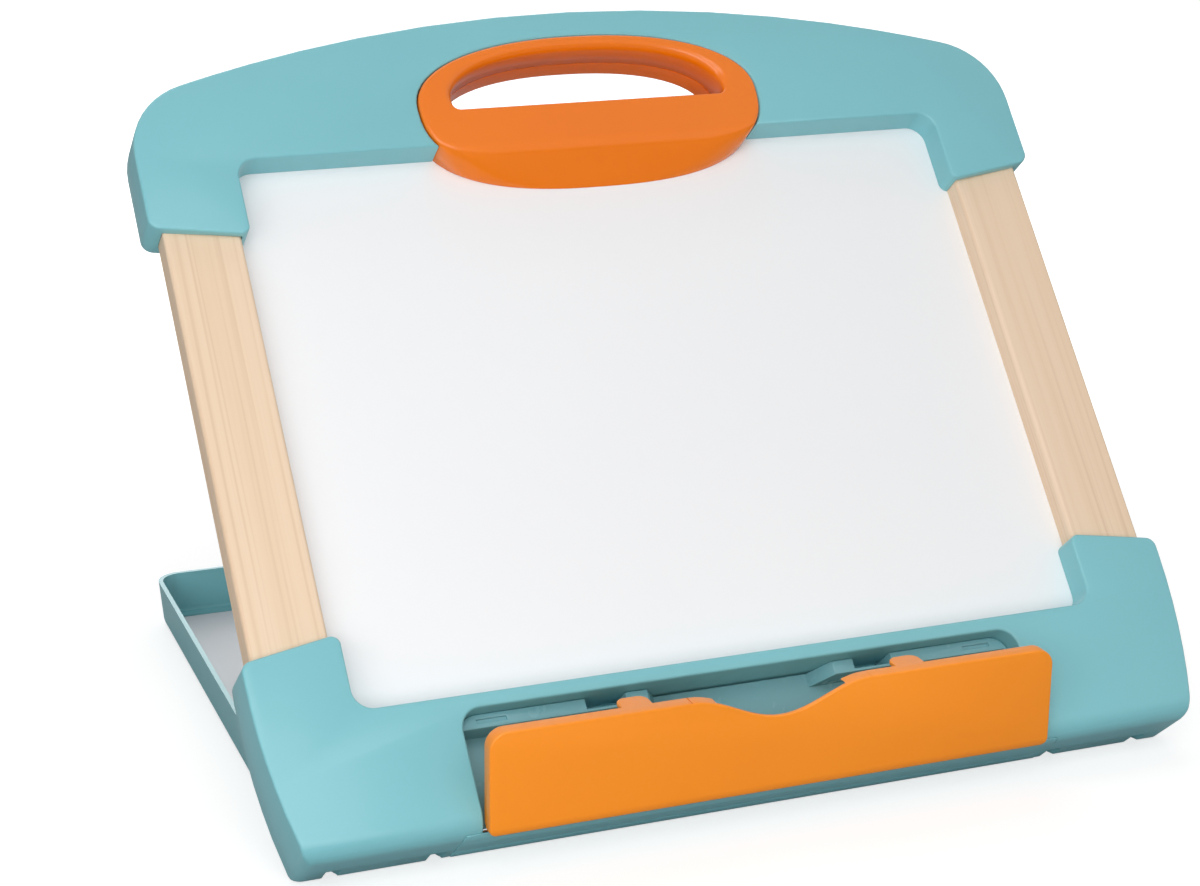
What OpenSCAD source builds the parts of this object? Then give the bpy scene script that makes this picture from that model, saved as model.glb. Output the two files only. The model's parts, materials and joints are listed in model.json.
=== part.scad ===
// Magnetic desk whiteboard easel: a wood and plastic framed board that leans back over a folding rear tray.
// The board is drawn flat in its own frame (x across, y up the board, z out of its front face) and then
// tilted. The tray is drawn on the table. Both meet on one hinge line behind the foot of the board.

/* [Stance] */
// Angle between the board and the table when the easel is open
board_angle = 50.4; // [40:0.1:60]
// How far the front flap hangs open
flap_open = 41.2; // [30:0.1:45]

/* [Side rails] */
// Distance between the outer edges of the two wooden rails
frame_w = 380; // [340:1:420]
// Width of one rail
rail_w = 30.8; // [26:0.1:36]
// Thickness of one rail
rail_t = 12; // [11:0.1:16]

/* [Writing surface] */
// Depth of the writing surface below the rails' front
board_sunk = 9; // [6:0.1:9.4]
// Thickness of the enamelled steel sheet
sheet_t = 0.8; // [0.5:0.1:1.2]
// How far the sheet runs into the groove of each rail
groove_d = 5.5; // [3:0.1:8]

/* [Top cap] */
// Height of the frame along the board, from its foot line to the crown
crown_v = 371.2; // [350:0.1:400]
// Radius of the crown's arch
crown_r = 600; // [500:1:900]
// Radius of the shoulders
shoulder_r = 33; // [20:1:36]
// Height of the cap's straight lower edge along the board
cap_edge_v = 310.4; // [300:0.1:316]
// How far the cap's arms reach below its straight lower edge, at their inner edge
cap_arm = 33.4; // [24:0.1:44]
// Depth of the rear cover of the cap
cap_cover_t = 5; // [4:0.1:6]

/* [Base] */
// Height of the foot line along the board
foot_v = 26; // [22:0.1:30]
// Height of the base's upper edge along the board
base_edge_v = 78.8; // [76:0.1:90]
// How far the base's arms reach above its upper edge, at their inner edge
base_arm = 30.3; // [24:0.1:44]
// How much narrower the base is at the foot, on each side
foot_taper = 9.5; // [4:0.1:14]
// Radius of the rounded edge along the front of the foot
foot_r = 9; // [7:0.1:10]
// Depth of the base behind the rails' front, at the foot line
foot_d = 25; // [24:0.1:29]
// Width of the small notches under the rear shell
notch_w = 5.5; // [3:0.1:8]

/* [Plastic shells] */
// Thickness of the plastic lip that stands in front of the rails
lip_t = 4; // [3:0.1:5]
// Overhang of the shells past the outer edge of the rails
lip_out = 4.6; // [3:0.1:6]
// Overhang of the shells past the inner edge of the rails
lip_in = 3.2; // [2:0.1:5]
// Wall thickness of the moulded shells
wall = 2.5; // [2:0.1:3]

/* [Carrying handle] */
// Width of the handle
handle_w = 151.6; // [130:0.1:170]
// Height of the handle's widest line above the cap's straight lower edge
handle_rise = 17.6; // [16.5:0.1:19]
// Height of the handle above its widest line
handle_up = 30.6; // [29:0.1:33]
// Height of the chin below the widest line
handle_down = 35.1; // [30:0.1:38]
// Width of the hand opening
grip_w = 122; // [100:1:126]
// Height of the hand opening
grip_h = 26.4; // [22:0.1:28]
// Flat lower edge of the hand opening, above the cap's straight lower edge
grip_rise = 16; // [15.5:0.1:17]
// How far the handle's face stands in front of the rails
handle_face = 5; // [4.2:0.1:7]

/* [Front pocket and flap] */
// Width of the pocket's opening
pocket_w = 235; // [200:1:240]
// Height of the pocket's opening above the foot line
pocket_h = 47; // [44:0.1:48]
// Depth of the pocket behind the rails' front
pocket_d = 17; // [13:0.1:17.4]
// Gap between each end of the flap and the pocket's opening
flap_gap = 0.7; // [0.6:0.1:2]
// Wall thickness of the flap
flap_t = 2.2; // [1.6:0.1:2.6]
// Depth of the flap's rim
flap_rim = 6.5; // [5:0.1:7]
// Width of the finger notch in the flap
notch_span = 74; // [50:1:76]
// Depth of the finger notch
notch_drop = 10.4; // [6:0.1:14]
// Distance of each latch tongue from the middle
latch_x = 56.8; // [54:0.1:80]
// Width of a latch tongue
latch_w = 12.5; // [8:0.1:16]
// Radius of the lower corners of the flap
flap_corner_r = 3; // [2:0.1:4]
// How far the strip under the flap stands out below the foot
sill_drop = 0.3; // [0.2:0.1:0.6]
// Radius of the flap's hinge pins
flap_pin_r = 1.4; // [1:0.05:1.6]

/* [Rear tray] */
// Length of the tray behind its hinge
tray_len = 280.7; // [250:0.1:282]
// Width of the tray beside the hinge
tray_w_near = 360; // [300:1:370]
// Width of the tray at its far end
tray_w_far = 337; // [290:1:360]
// Height of the tray's rim above the table
tray_h = 21; // [18:0.1:21]
// Height of the hinge line above the table
hinge_z = 4.5; // [4:0.1:6]
// Radius of the hinge pins
hinge_pin_r = 2; // [1.5:0.1:2.5]
// Thickness of the panel in the tray's floor
panel_t = 1; // [0.6:0.1:1.2]

/* [Prop] */
// Height of the prop's pivot above the hinge line, along the board
prop_v = 125.6; // [110:0.1:130]
// Angle between the prop and the board when the easel is open
prop_angle = 100; // [92:0.1:106]
// Radius of the prop's wire
prop_r = 2.5; // [1.5:0.1:3]
// Distance between the prop's legs
prop_w = 120; // [80:1:160]

/* [Fits] */
// Clearance between pieces that seat in each other
seat = 0.2; // [0.1:0.05:0.3]
// Radial clearance of a pin in its bore
pin_fit = 0.06; // [0.03:0.01:0.09]
// Clearance between pieces that move past each other
pass = 0.4; // [0.3:0.05:0.6]

/* [Hidden] */
$fn = 48;

teal = [0.56, 0.79, 0.82];
teal_dark = [0.44, 0.68, 0.72];
orange = [1.0, 0.6, 0.15];
orange_deep = [0.94, 0.5, 0.08];
birch = [0.92, 0.81, 0.68];

// Small overlap that makes a cut run clean through a face
cut = 0.5;
// Half widths across the board
rail_out = frame_w / 2;
rail_in = rail_out - rail_w;
shell_out = rail_out + lip_out + 1;
shell_in = rail_in - lip_in;
// Ends of the arms, at their inner edge
cap_arm_v = cap_edge_v - cap_arm;
base_arm_v = base_edge_v + base_arm;
// The base's sides start to draw in below this height
side_v = base_arm_v - 14;
base_out = shell_out - 1.1;
// Slope of the slanted ends of the cap's and the base's arms
cap_end_slope = 0.153;
base_end_slope = 0.171;
// Levels through the thickness, measured from the rails' front face
back_n = -rail_t;
sheet_n = -board_sunk;
base_part_n = back_n - 2;
cap_back_n = back_n - cap_cover_t;
// The rear of the base is a sloping plane, deepest at the heel, where the foot is cut flat by the table
arm_back_n = back_n - 4;
back_slope = (foot_d + arm_back_n) / (base_arm_v - 4 - foot_v);
heel = 2.4;
heel_v = foot_v + heel / (back_slope + tan(board_angle));
function back_at(v) = -foot_d - heel + back_slope * (v - foot_v);
// Level of the table under a height on the board
function table_n(v) = -foot_d - tan(board_angle) * (v - foot_v);
// The sheet and its core reach this far under the base and the cap
board_low_v = base_edge_v - 4.3;
board_high_v = cap_edge_v + 7.6;
board_half = rail_in + groove_d;
rail_low_v = base_edge_v - 15;
rail_high_v = board_high_v;
// Height of the foot line above the table comes from the rear edge of the foot, which stands on it
foot_lift = foot_d * cos(board_angle) - foot_v * sin(board_angle);
// Tray hinge, in the board's frame
tray_back_n = cap_back_n - pass - tray_h;
hinge_n = tray_back_n + hinge_z;
hinge_v = (hinge_z - foot_lift - hinge_n * cos(board_angle)) / sin(board_angle);
hinge_y = hinge_v * cos(board_angle) - hinge_n * sin(board_angle);
// Radius of the hinge's ears and knuckles, and the places across one hinge where they end
ear_r = hinge_z - 0.4;
ear_x = [135, 143, 157, 165];
// Small notches under the rear of the base
notch_x = [131, 171];
// The handle and its opening keep their place above the cap's straight lower edge
handle_v = cap_edge_v + handle_rise;
grip_low_v = cap_edge_v + grip_rise;
// Where the handle's face bends down to the board, and how steeply the chin falls
chin_bend_v = cap_edge_v - 3.4;
chin_bend_r = 9;
chin_slope = 0.95;
// Flap hinge, in the board's frame
flap_knuckle_r = flap_pin_r + 0.8;
flap_pin_v = foot_v + 2 * flap_pin_r;
flap_pin_n = lip_t - foot_r - 1.8;
flap_half = pocket_w / 2 - flap_gap;
flap_top_v = foot_v + pocket_h - pass - seat;
pocket_half = pocket_w / 2;
// The foot's rounded edge, and how far round it the flap reaches, in degrees
bend_v = foot_v + foot_r;
bend_n = lip_t - foot_r;
flap_arc = 25;
flap_low_v = bend_v - foot_r * sin(flap_arc);
flap_wall = 2;
// Two arms inside the flap carry it on its pins
flap_arm_w = 3;
flap_arm_x = flap_half - flap_arm_w - 4;
// Strip of the front shell under the flap, and the lip on it which the opened flap clears
sill_v = foot_v - sill_drop;
sill_top_v = foot_v + 1;
sill_half = pocket_half + 7.5;
sill_back_n = base_part_n - 4;
sill_r = foot_r + sill_drop;
lip_top_v = foot_v + 2.4;
flap_low_n = bend_n + sqrt(pow(foot_r - flap_t, 2) - pow(bend_v - flap_low_v, 2));
flap_reach = norm([flap_low_v - flap_pin_v, flap_low_n - flap_pin_n]);
lip_reach = flap_reach - pass - seat;
pocket_top_v = foot_v + pocket_h;
pocket_corner_r = 8;
ledge_n = -4.5;
ledge_h = 5.5;
// Middle of the easel from front to back, which is put on the origin
flap_face_y = flap_pin_v * cos(board_angle) - flap_pin_n * sin(board_angle) + (flap_top_v - flap_pin_v)
              * cos(board_angle + flap_open) - (lip_t - flap_pin_n) * sin(board_angle + flap_open);
middle_y = (flap_face_y + hinge_y + tray_len) / 2;
// Tray levels above the table
tray_floor = 1.2;
ledge_z = 3;
tray_wall = 2.2;
strip_t = 1.2;
strip_w = 14;
strip_top = tray_floor + panel_t + strip_t;
near_u = hinge_z + 1.5;
rim_near = back_at(hinge_v + near_u) - tray_back_n - 2 * pass;
// Prop
prop_bend = 8;
prop_n = back_n - prop_r - 3;
prop_pivot_v = hinge_v + prop_v;
prop_drop = prop_v * sin(board_angle) + (prop_n - hinge_n) * cos(board_angle) + hinge_z - strip_top
            - prop_r - seat * 1.5;
prop_len = prop_drop / sin(prop_angle - board_angle);
bracket_x = prop_w / 2 + prop_bend + 1;
bracket_w = 10;
// Screws: head radius, head height, shank radius
head_r = 3;
head_h = 2;
shank_r = 1.5;
small_head_r = 2.2;
small_head_h = 1.5;
small_shank_r = 1.1;
// Radial room of a screw in its pilot hole, and how far the screws and the holes reach past the board's back
pilot_fit = 0.05;
screw_reach = 8;
pilot_reach = 9.5;
// Levels on which the screws' heads bear
cap_head_n = cap_back_n + 0.6;
base_head_n = base_part_n - 4.5;
rail_head_n = base_part_n - 2.6;
handle_head_n = cap_back_n - 0.4;
cap_screw_xv = [[handle_w / 2 + 24, cap_edge_v + 25.6], [rail_in - 9.2, cap_edge_v + 17.6]];
base_screw_xv = [[pocket_half + 12, foot_v + 12], [pocket_half + 12, foot_v + 42], [base_out - 23, foot_v + 12]];
rail_screw_v = [base_edge_v + 8, cap_edge_v - 8];
rail_mid = rail_out - rail_w / 2;
handle_screw_xv = [[handle_w / 2 - 7.3, handle_v - 3], [handle_w / 5, grip_low_v - 3.8]];
bracket_screw_dv = 13;

// Board frame to the standing easel
module on_board() {
    translate([0, -middle_y, foot_lift])
        rotate([board_angle, 0, 0])
            children();
}

// Tray frame (origin on the table under the hinge line) to the standing easel
module on_tray() {
    translate([0, hinge_y - middle_y, 0])
        children();
}

// A closed flap swung open about its pins
module flap_swing() {
    translate([0, flap_pin_v, flap_pin_n])
        rotate([flap_open, 0, 0])
            translate([0, -flap_pin_v, -flap_pin_n])
                children();
}

// Both sides of something drawn on the right
module both_sides() {
    children();
    mirror([1, 0, 0])
        children();
}

// Extrudes an outline drawn in the board's height and depth along x, centred
module across(width) {
    translate([-width / 2, 0, 0])
        rotate([90, 0, 90])
            linear_extrude(width)
                children();
}

function unit(v) = v / norm(v);

// Points of an outline whose corners [x, y, radius] are rounded, one point for each step of the turn
function rounded(corners, step = 7.5) = [
    for (i = [0 : len(corners) - 1])
        let (n = len(corners), c = corners[i],
             p = [c[0], c[1]],
             a = unit([corners[(i + n - 1) % n][0], corners[(i + n - 1) % n][1]] - p),
             b = unit([corners[(i + 1) % n][0], corners[(i + 1) % n][1]] - p),
             half = acos(max(-1, min(1, a * b))) / 2,
             turn = 180 - 2 * half,
             k = c[2] == 0 ? 0 : max(1, ceil(turn / step)),
             centre = k == 0 ? p : p + unit(a + b) * c[2] / sin(half),
             from = k == 0 ? 0 : atan2((p + a * c[2] / tan(half) - centre)[1], (p + a * c[2] / tan(half) - centre)[0]),
             side = a[0] * b[1] - a[1] * b[0] < 0 ? 1 : -1)
        for (j = [0 : k])
            k == 0 ? p : centre + c[2] * [cos(from + side * turn * j / k), sin(from + side * turn * j / k)]];

// Inward direction at each point of a counter-clockwise outline, long enough to keep the wall even
function inward(pts) = [
    for (i = [0 : len(pts) - 1])
        let (n = len(pts),
             a = unit(pts[i] - pts[(i + n - 1) % n]),
             b = unit(pts[(i + 1) % n] - pts[i]),
             na = [-a[1], a[0]],
             nb = [-b[1], b[0]])
        (na + nb) / (1 + na * nb)];

function inset(pts, d) =
    let (m = inward(pts))
    [for (i = [0 : len(pts) - 1]) pts[i] + m[i] * d];

// Half of a rounded-off oval: width w, height h, with corners fuller than an ellipse when power is over 2
function oval_arc(w, h, power, from, to, k) = [
    for (i = [0 : k])
        let (a = from + (to - from) * i / k)
        [sign(cos(a)) * w / 2 * pow(abs(cos(a)), 2 / power), sign(sin(a)) * h * pow(abs(sin(a)), 2 / power)]];

// Outline of the cap: arms, shoulders and crown
function crown_at(x) = crown_v - crown_r + sqrt(crown_r * crown_r - x * x);
shoulder_run = 0.78 * shoulder_r;
crown_x = shell_out - shoulder_run;
crown_slope = crown_x / sqrt(crown_r * crown_r - crown_x * crown_x);
cap_end_v = cap_arm_v + cap_end_slope * (shell_out - shell_in);
function cap_outline() = rounded(concat(
    [[shell_in, cap_arm_v, 3.6],
     [shell_out, cap_end_v, 5],
     [shell_out, crown_at(crown_x) - crown_slope * shoulder_run, shoulder_r - 0.5]],
    [for (i = [0 : 16]) [crown_x * cos(180 * i / 16), crown_at(crown_x * cos(180 * i / 16)), 0]],
    [[-shell_out, crown_at(crown_x) - crown_slope * shoulder_run, shoulder_r - 0.5],
     [-shell_out, cap_end_v, 5],
     [-shell_in, cap_arm_v, 3.6],
     [-shell_in, cap_edge_v, 8],
     [shell_in, cap_edge_v, 8]]));

// Outline of the base: foot, bulging sides and arms
function base_side(v) = base_out - foot_taper * pow(max(0, side_v - v) / (side_v - foot_v), 2);
base_end_v = base_arm_v - base_end_slope * (base_out - shell_in);
function base_outline() = rounded(concat(
    [[-base_side(foot_v), foot_v, 5],
     [base_side(foot_v), foot_v, 5]],
    [for (i = [1 : 6]) let (v = foot_v + 7 + (side_v - foot_v - 7) * i / 6) [base_side(v), v, 0]],
    [[base_out, base_end_v, 4.5],
     [shell_in, base_arm_v, 3.6],
     [shell_in, base_edge_v, 8],
     [-shell_in, base_edge_v, 8],
     [-shell_in, base_arm_v, 3.6],
     [-base_out, base_end_v, 4.5]],
    [for (i = [6 : -1 : 1]) let (v = foot_v + 7 + (side_v - foot_v - 7) * i / 6) [-base_side(v), v, 0]]));

// Outline of the handle, grown all round by d
handle_steps = 36;
function handle_outline(d = 0) = concat(
    [for (p = oval_arc(handle_w + 2 * d, handle_up + d, 2.2, 0, 180, handle_steps)) p + [0, handle_v]],
    [for (i = [1 : handle_steps - 1])
        let (p = oval_arc(handle_w + 2 * d, handle_down + d, 2.6, 180, 360, handle_steps)[i]) p + [0, handle_v]]);

// Outline of the hand opening, grown all round by d: an arch over a straight edge with rounded corners
grip_steps = 32;
grip_corner_r = 3;
function grip_corner(side, d, from) = [
    for (a = [from + 15 : 15 : from + 90])
        [side * (grip_w / 2 - grip_corner_r), grip_low_v + grip_corner_r] + (grip_corner_r + d) * [cos(a), sin(a)]];
function grip_outline(d = 0) = concat(
    [for (p = oval_arc(grip_w + 2 * d, grip_h - grip_corner_r + d, 2.3, 0, 180, grip_steps))
        p + [0, grip_low_v + grip_corner_r]],
    grip_corner(-1, d, 180),
    grip_corner(1, d, 255));

// A screw that goes in along +n from a recess, its head's rear face at level n
module screw(x, v, n, tip, r, hr, hh) {
    translate([x, v, n]) {
        difference() {
            cylinder(r = hr, h = hh);
            translate([-hr * 0.6, -hr * 0.12, -cut])
                cube([hr * 1.2, hr * 0.24, cut + hh * 0.4]);
            translate([-hr * 0.12, -hr * 0.6, -cut])
                cube([hr * 0.24, hr * 1.2, cut + hh * 0.4]);
        }
        cylinder(r = r, h = tip - n);
    }
}

// The hole for such a screw: head recess down to the outside and a clear hole for the shank
module screw_hole(x, v, n, tip, r, hr, hh) {
    translate([x, v, n - 10])
        cylinder(r = hr + seat, h = 10 + hh);
    translate([x, v, n])
        cylinder(r = r + seat, h = tip - n + cut);
}

// The blind hole that a screw cuts its thread in
module pilot_hole(x, v, from, to, r) {
    translate([x, v, from - cut])
        cylinder(r = r + pilot_fit, h = to - from + cut);
}

// Boss for a screw, standing between two levels
module boss(x, v, from, to, r) {
    translate([x, v, from])
        cylinder(r = r, h = to - from);
}

// Gap behind the shells in which the sheet, its core and the rails sit
module board_slot(low, high, back) {
    translate([-board_half - seat, low, back - cut])
        cube([2 * (board_half + seat), high - low, sheet_n - back + cut + seat / 2]);
}

module rail_slots(low, high, back) {
    both_sides()
        translate([rail_in - seat, low, back - cut])
            cube([rail_w + 2 * seat, high - low, cut - back]);
}

module top_cap_front() {
    pts = cap_outline();
    color(teal)
        on_board()
            difference() {
                union() {
                    difference() {
                        translate([0, 0, back_n])
                            linear_extrude(lip_t - back_n)
                                polygon(pts);
                        translate([0, 0, back_n - cut])
                            linear_extrude(lip_t - wall - back_n + cut)
                                intersection() {
                                    polygon(inset(pts, wall));
                                    translate([-frame_w, cap_edge_v + wall])
                                        square([2 * frame_w, frame_w]);
                                }
                    }
                    for (s = cap_screw_xv)
                        both_sides()
                            boss(s[0], s[1], back_n, lip_t - wall + cut, shank_r + 2.2);
                    translate([0, 0, back_n])
                        linear_extrude(lip_t - wall - back_n + cut)
                            intersection() {
                                polygon(handle_outline(pass + wall));
                                translate([-frame_w, cap_edge_v])
                                    square([2 * frame_w, frame_w]);
                            }
                }
                translate([0, 0, back_n - cut])
                    linear_extrude(lip_t - back_n + 2 * cut)
                        polygon(handle_outline(pass));
                board_slot(cap_arm_v - 5, board_high_v + seat, back_n);
                rail_slots(cap_arm_v - 5, rail_high_v + seat, back_n);
                for (s = cap_screw_xv)
                    both_sides()
                        pilot_hole(s[0], s[1], back_n, back_n + pilot_reach, shank_r);
            }
}

module top_cap_rear() {
    color(teal)
        on_board()
            difference() {
                translate([0, 0, cap_back_n])
                    linear_extrude(cap_cover_t)
                        polygon(cap_outline());
                translate([0, 0, cap_back_n - cut])
                    linear_extrude(cap_cover_t + 2 * cut)
                        intersection() {
                            polygon(handle_outline(pass));
                            translate([-frame_w, board_high_v + 1])
                                square([2 * frame_w, frame_w]);
                        }
                for (s = cap_screw_xv)
                    both_sides()
                        screw_hole(s[0], s[1], cap_head_n, back_n, shank_r, head_r, head_h);
                both_sides()
                    screw_hole(rail_mid, rail_screw_v[1], cap_head_n, back_n, shank_r, head_r, head_h);
            }
}

module base_front() {
    pts = base_outline();
    room_low = foot_v + foot_r * 0.67;
    color(teal)
        on_board() {
            base_sill();
            difference() {
                union() {
                    difference() {
                        intersection() {
                            translate([0, 0, base_part_n])
                                linear_extrude(lip_t - base_part_n)
                                    polygon(pts);
                            across(2 * frame_w)
                                base_section();
                        }
                        translate([0, 0, base_part_n - cut])
                            linear_extrude(lip_t - wall - base_part_n + cut)
                                intersection() {
                                    polygon(inset(pts, wall));
                                    both_sides()
                                        translate([pocket_half + wall, room_low])
                                            square([frame_w, board_low_v - 1 - room_low]);
                                }
                    }
                    for (s = base_screw_xv)
                        both_sides()
                            boss(s[0], s[1], base_part_n, lip_t - wall + cut, shank_r + 2.2);
                }
                pocket_cut();
                board_slot(board_low_v - seat, base_arm_v + 5, base_part_n);
                rail_slots(rail_low_v - seat, base_arm_v + 5, base_part_n);
                for (s = base_screw_xv)
                    both_sides()
                        pilot_hole(s[0], s[1], base_part_n, back_n + pilot_reach, shank_r);
                both_sides()
                    translate([pocket_half - cut, flap_pin_v, flap_pin_n])
                        rotate([0, 90, 0])
                            cylinder(r = flap_pin_r + pin_fit / 2, h = wall);
            }
        }
}

// The strip under the flap, with a lip between the flap's arms and hollows below its knuckles
module base_sill() {
    difference() {
        union() {
            across(2 * sill_half)
                intersection() {
                    sill_outside();
                    translate([sill_v - cut, sill_back_n])
                        square([sill_top_v - sill_v + cut, frame_w]);
                }
            across(2 * (flap_arm_x - pass))
                difference() {
                    intersection() {
                        sill_outside();
                        translate([sill_v - cut, bend_n])
                            square([lip_top_v - sill_v + cut, 2 * foot_r]);
                    }
                    translate([bend_v, bend_n])
                        circle(r = sill_r - flap_wall);
                }
        }
        both_sides()
            translate([flap_arm_x - pass, flap_pin_v, flap_pin_n])
                rotate([0, 90, 0])
                    cylinder(r = flap_knuckle_r + pass, h = flap_arm_w + 2 * pass);
    }
}

// Height and depth of the sill's outside: the foot's edge, cut back where the flap's lower end swings past
module sill_outside() {
    intersection() {
        union() {
            translate([bend_v, bend_n])
                circle(r = sill_r);
            translate([sill_v, sill_back_n])
                square([sill_r, bend_n - sill_back_n]);
        }
        union() {
            translate([flap_pin_v, flap_pin_n])
                circle(r = lip_reach);
            translate([sill_v - cut, sill_back_n])
                square([sill_r, bend_n + cut - sill_back_n]);
        }
    }
}

// Height and depth of the base's front: the face bends round to the underside of the foot
module base_section() {
    translate([bend_v, bend_n])
        circle(r = foot_r);
    translate([foot_v, base_part_n])
        square([2 * foot_r, bend_n - base_part_n]);
    translate([bend_v, base_part_n])
        square([base_arm_v + wall - bend_v, lip_t - base_part_n]);
}

// The pocket's opening, open at the foot
module pocket_cut() {
    translate([0, 0, base_part_n - cut])
        linear_extrude(lip_t - base_part_n + 2 * cut)
            polygon(rounded([[-pocket_half, foot_v - 10, 0], [pocket_half, foot_v - 10, 0],
                             [pocket_half, pocket_top_v, pocket_corner_r],
                             [-pocket_half, pocket_top_v, pocket_corner_r]]));
}

module base_rear() {
    room_half = base_side(foot_v) - wall - 2;
    room_low = foot_v + wall + 1;
    room_high = board_low_v - 1;
    pad_h = back_n - base_part_n + cut;
    color(teal)
        on_board()
            difference() {
                union() {
                    difference() {
                        intersection() {
                            translate([0, 0, base_part_n - frame_w])
                                linear_extrude(frame_w)
                                    union() {
                                        polygon(base_outline());
                                        translate([-sill_half, sill_v])
                                            square([2 * sill_half, foot_r]);
                                    }
                            across(2 * frame_w)
                                polygon([[foot_v - wall, base_part_n], [base_arm_v + wall, base_part_n],
                                         [base_arm_v + wall, back_at(base_arm_v + wall)],
                                         [heel_v, back_at(heel_v)], [foot_v - wall, table_n(foot_v - wall)]]);
                        }
                        across(2 * room_half)
                            polygon([[room_low, base_part_n + cut], [room_high, base_part_n + cut],
                                     [room_high, back_at(room_high) + wall], [room_low, back_at(room_low) + wall]]);
                        across(2 * (sill_half + seat))
                            translate([sill_v - wall, sill_back_n - seat])
                                square([sill_top_v + seat + wall - sill_v, base_part_n - sill_back_n + seat + cut]);
                    }
                    for (s = base_screw_xv)
                        both_sides()
                            boss(s[0], s[1], back_at(s[1]) + wall / 2, base_part_n, head_r + 2);
                    both_sides()
                        translate([shell_in + 0.6, board_low_v, base_part_n - cut])
                            cube([rail_out - shell_in - 0.6, base_end_v - 1.5 - board_low_v, pad_h]);
                    translate([-shell_in - 1, board_low_v, base_part_n - cut])
                        cube([2 * shell_in + 2, base_edge_v - board_low_v, pad_h]);
                    hinge_ears();
                }
                for (s = base_screw_xv)
                    both_sides()
                        screw_hole(s[0], s[1], base_head_n, base_part_n, shank_r, head_r, head_h);
                both_sides()
                    screw_hole(rail_mid, rail_screw_v[0], rail_head_n, back_n, shank_r, head_r, head_h);
                both_sides()
                    for (x = notch_x)
                        translate([x, foot_v, base_part_n - 3 - foot_d])
                            cylinder(r = notch_w / 2, h = foot_d);
                both_sides()
                    translate([ear_x[0] - cut, hinge_v, hinge_n])
                        rotate([0, 90, 0])
                            cylinder(r = hinge_pin_r + pin_fit / 2, h = ear_x[3] - ear_x[0] + 2 * cut);
            }
}

// Two pairs of ears that carry the tray's hinge pins
module hinge_ears() {
    both_sides()
        for (k = [0, 2])
            translate([(ear_x[k] + ear_x[k + 1]) / 2, 0, 0])
                across(ear_x[k + 1] - ear_x[k])
                    union() {
                        translate([hinge_v, hinge_n])
                            circle(r = ear_r);
                        translate([hinge_v - ear_r, hinge_n])
                            square([2 * ear_r, back_at(hinge_v) + wall - hinge_n]);
                    }
}

// One wooden rail with rounded front edges, a groove for the board and two pilot holes
module rail(side) {
    r = 1.6;
    color(birch)
        on_board()
            scale([side, 1, 1])
                difference() {
                    translate([0, rail_low_v, 0])
                        rotate([-90, 0, 0])
                            linear_extrude(rail_high_v - rail_low_v)
                                polygon(rounded([[rail_in, 0, r], [rail_out, 0, r], [rail_out, rail_t, 0.8],
                                                 [rail_in + groove_d + seat, rail_t, 0],
                                                 [rail_in + groove_d + seat, board_sunk - seat / 2, 0],
                                                 [rail_in, board_sunk - seat / 2, 0]]));
                    for (v = rail_screw_v)
                        pilot_hole(rail_mid, v, back_n, back_n + pilot_reach, shank_r);
                }
}

module rail_left() {
    rail(-1);
}

module rail_right() {
    rail(1);
}

// Plan of the sheet and its core
module board_plan() {
    translate([-board_half, board_low_v])
        square([2 * board_half, board_high_v - board_low_v]);
}

module whiteboard_sheet() {
    color("white")
        on_board()
            translate([0, 0, sheet_n - sheet_t])
                linear_extrude(sheet_t)
                    board_plan();
}

module board_core() {
    color([0.55, 0.42, 0.3])
        on_board()
            difference() {
                translate([0, 0, back_n])
                    linear_extrude(sheet_n - sheet_t - back_n)
                        board_plan();
                both_sides()
                    for (dv = [-bracket_screw_dv, bracket_screw_dv])
                        pilot_hole(bracket_x + bracket_w / 2, prop_pivot_v + dv, back_n, sheet_n, small_shank_r);
            }
}

// Section of the handle's front through its height: a flat face that bends down to the board at the chin
module handle_section(face) {
    top = handle_v + handle_up + 5;
    polygon(rounded([[chin_bend_v - (face - sheet_n) / chin_slope, sheet_n, 0],
                     [top, sheet_n, 0],
                     [top, face, 0],
                     [chin_bend_v, face, chin_bend_r]], 6));
}

module handle_front() {
    color(orange_deep)
        on_board()
            difference() {
                intersection() {
                    translate([0, 0, sheet_n])
                        linear_extrude(handle_face - sheet_n)
                            polygon(handle_outline());
                    across(handle_w + 10)
                        handle_section(handle_face);
                }
                translate([0, 0, sheet_n - cut])
                    linear_extrude(handle_face - sheet_n + 2 * cut)
                        polygon(grip_outline());
                grip_roll();
                for (s = handle_screw_xv)
                    both_sides()
                        pilot_hole(s[0], s[1], sheet_n, sheet_n + screw_reach, small_shank_r);
            }
}

// The rolled edge round the upper rim of the hand opening
module grip_roll() {
    roll = 4;
    for (k = [1 : 4])
        let (a = 90 * k / 5, d = roll * (1 - cos(a)), h = roll * (1 - sin(a)))
            translate([0, 0, handle_face - h - 0.01 * k])
                linear_extrude(h + cut)
                    intersection() {
                        polygon(grip_outline(d));
                        translate([-grip_w, grip_low_v])
                            square([2 * grip_w, grip_w]);
                    }
}

module handle_rear() {
    low_v = board_high_v + 1 + pass;
    color(orange_deep)
        on_board()
            difference() {
                translate([0, 0, cap_back_n - 1])
                    linear_extrude(sheet_n - cap_back_n + 1)
                        intersection() {
                            polygon(handle_outline());
                            translate([-handle_w, low_v])
                                square([2 * handle_w, handle_w]);
                        }
                translate([0, 0, cap_back_n - 1 - cut])
                    linear_extrude(sheet_n - cap_back_n + 1 + 2 * cut)
                        polygon(grip_outline());
                for (s = handle_screw_xv)
                    both_sides()
                        screw_hole(s[0], s[1], handle_head_n, sheet_n, small_shank_r, small_head_r, small_head_h);
            }
}

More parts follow.
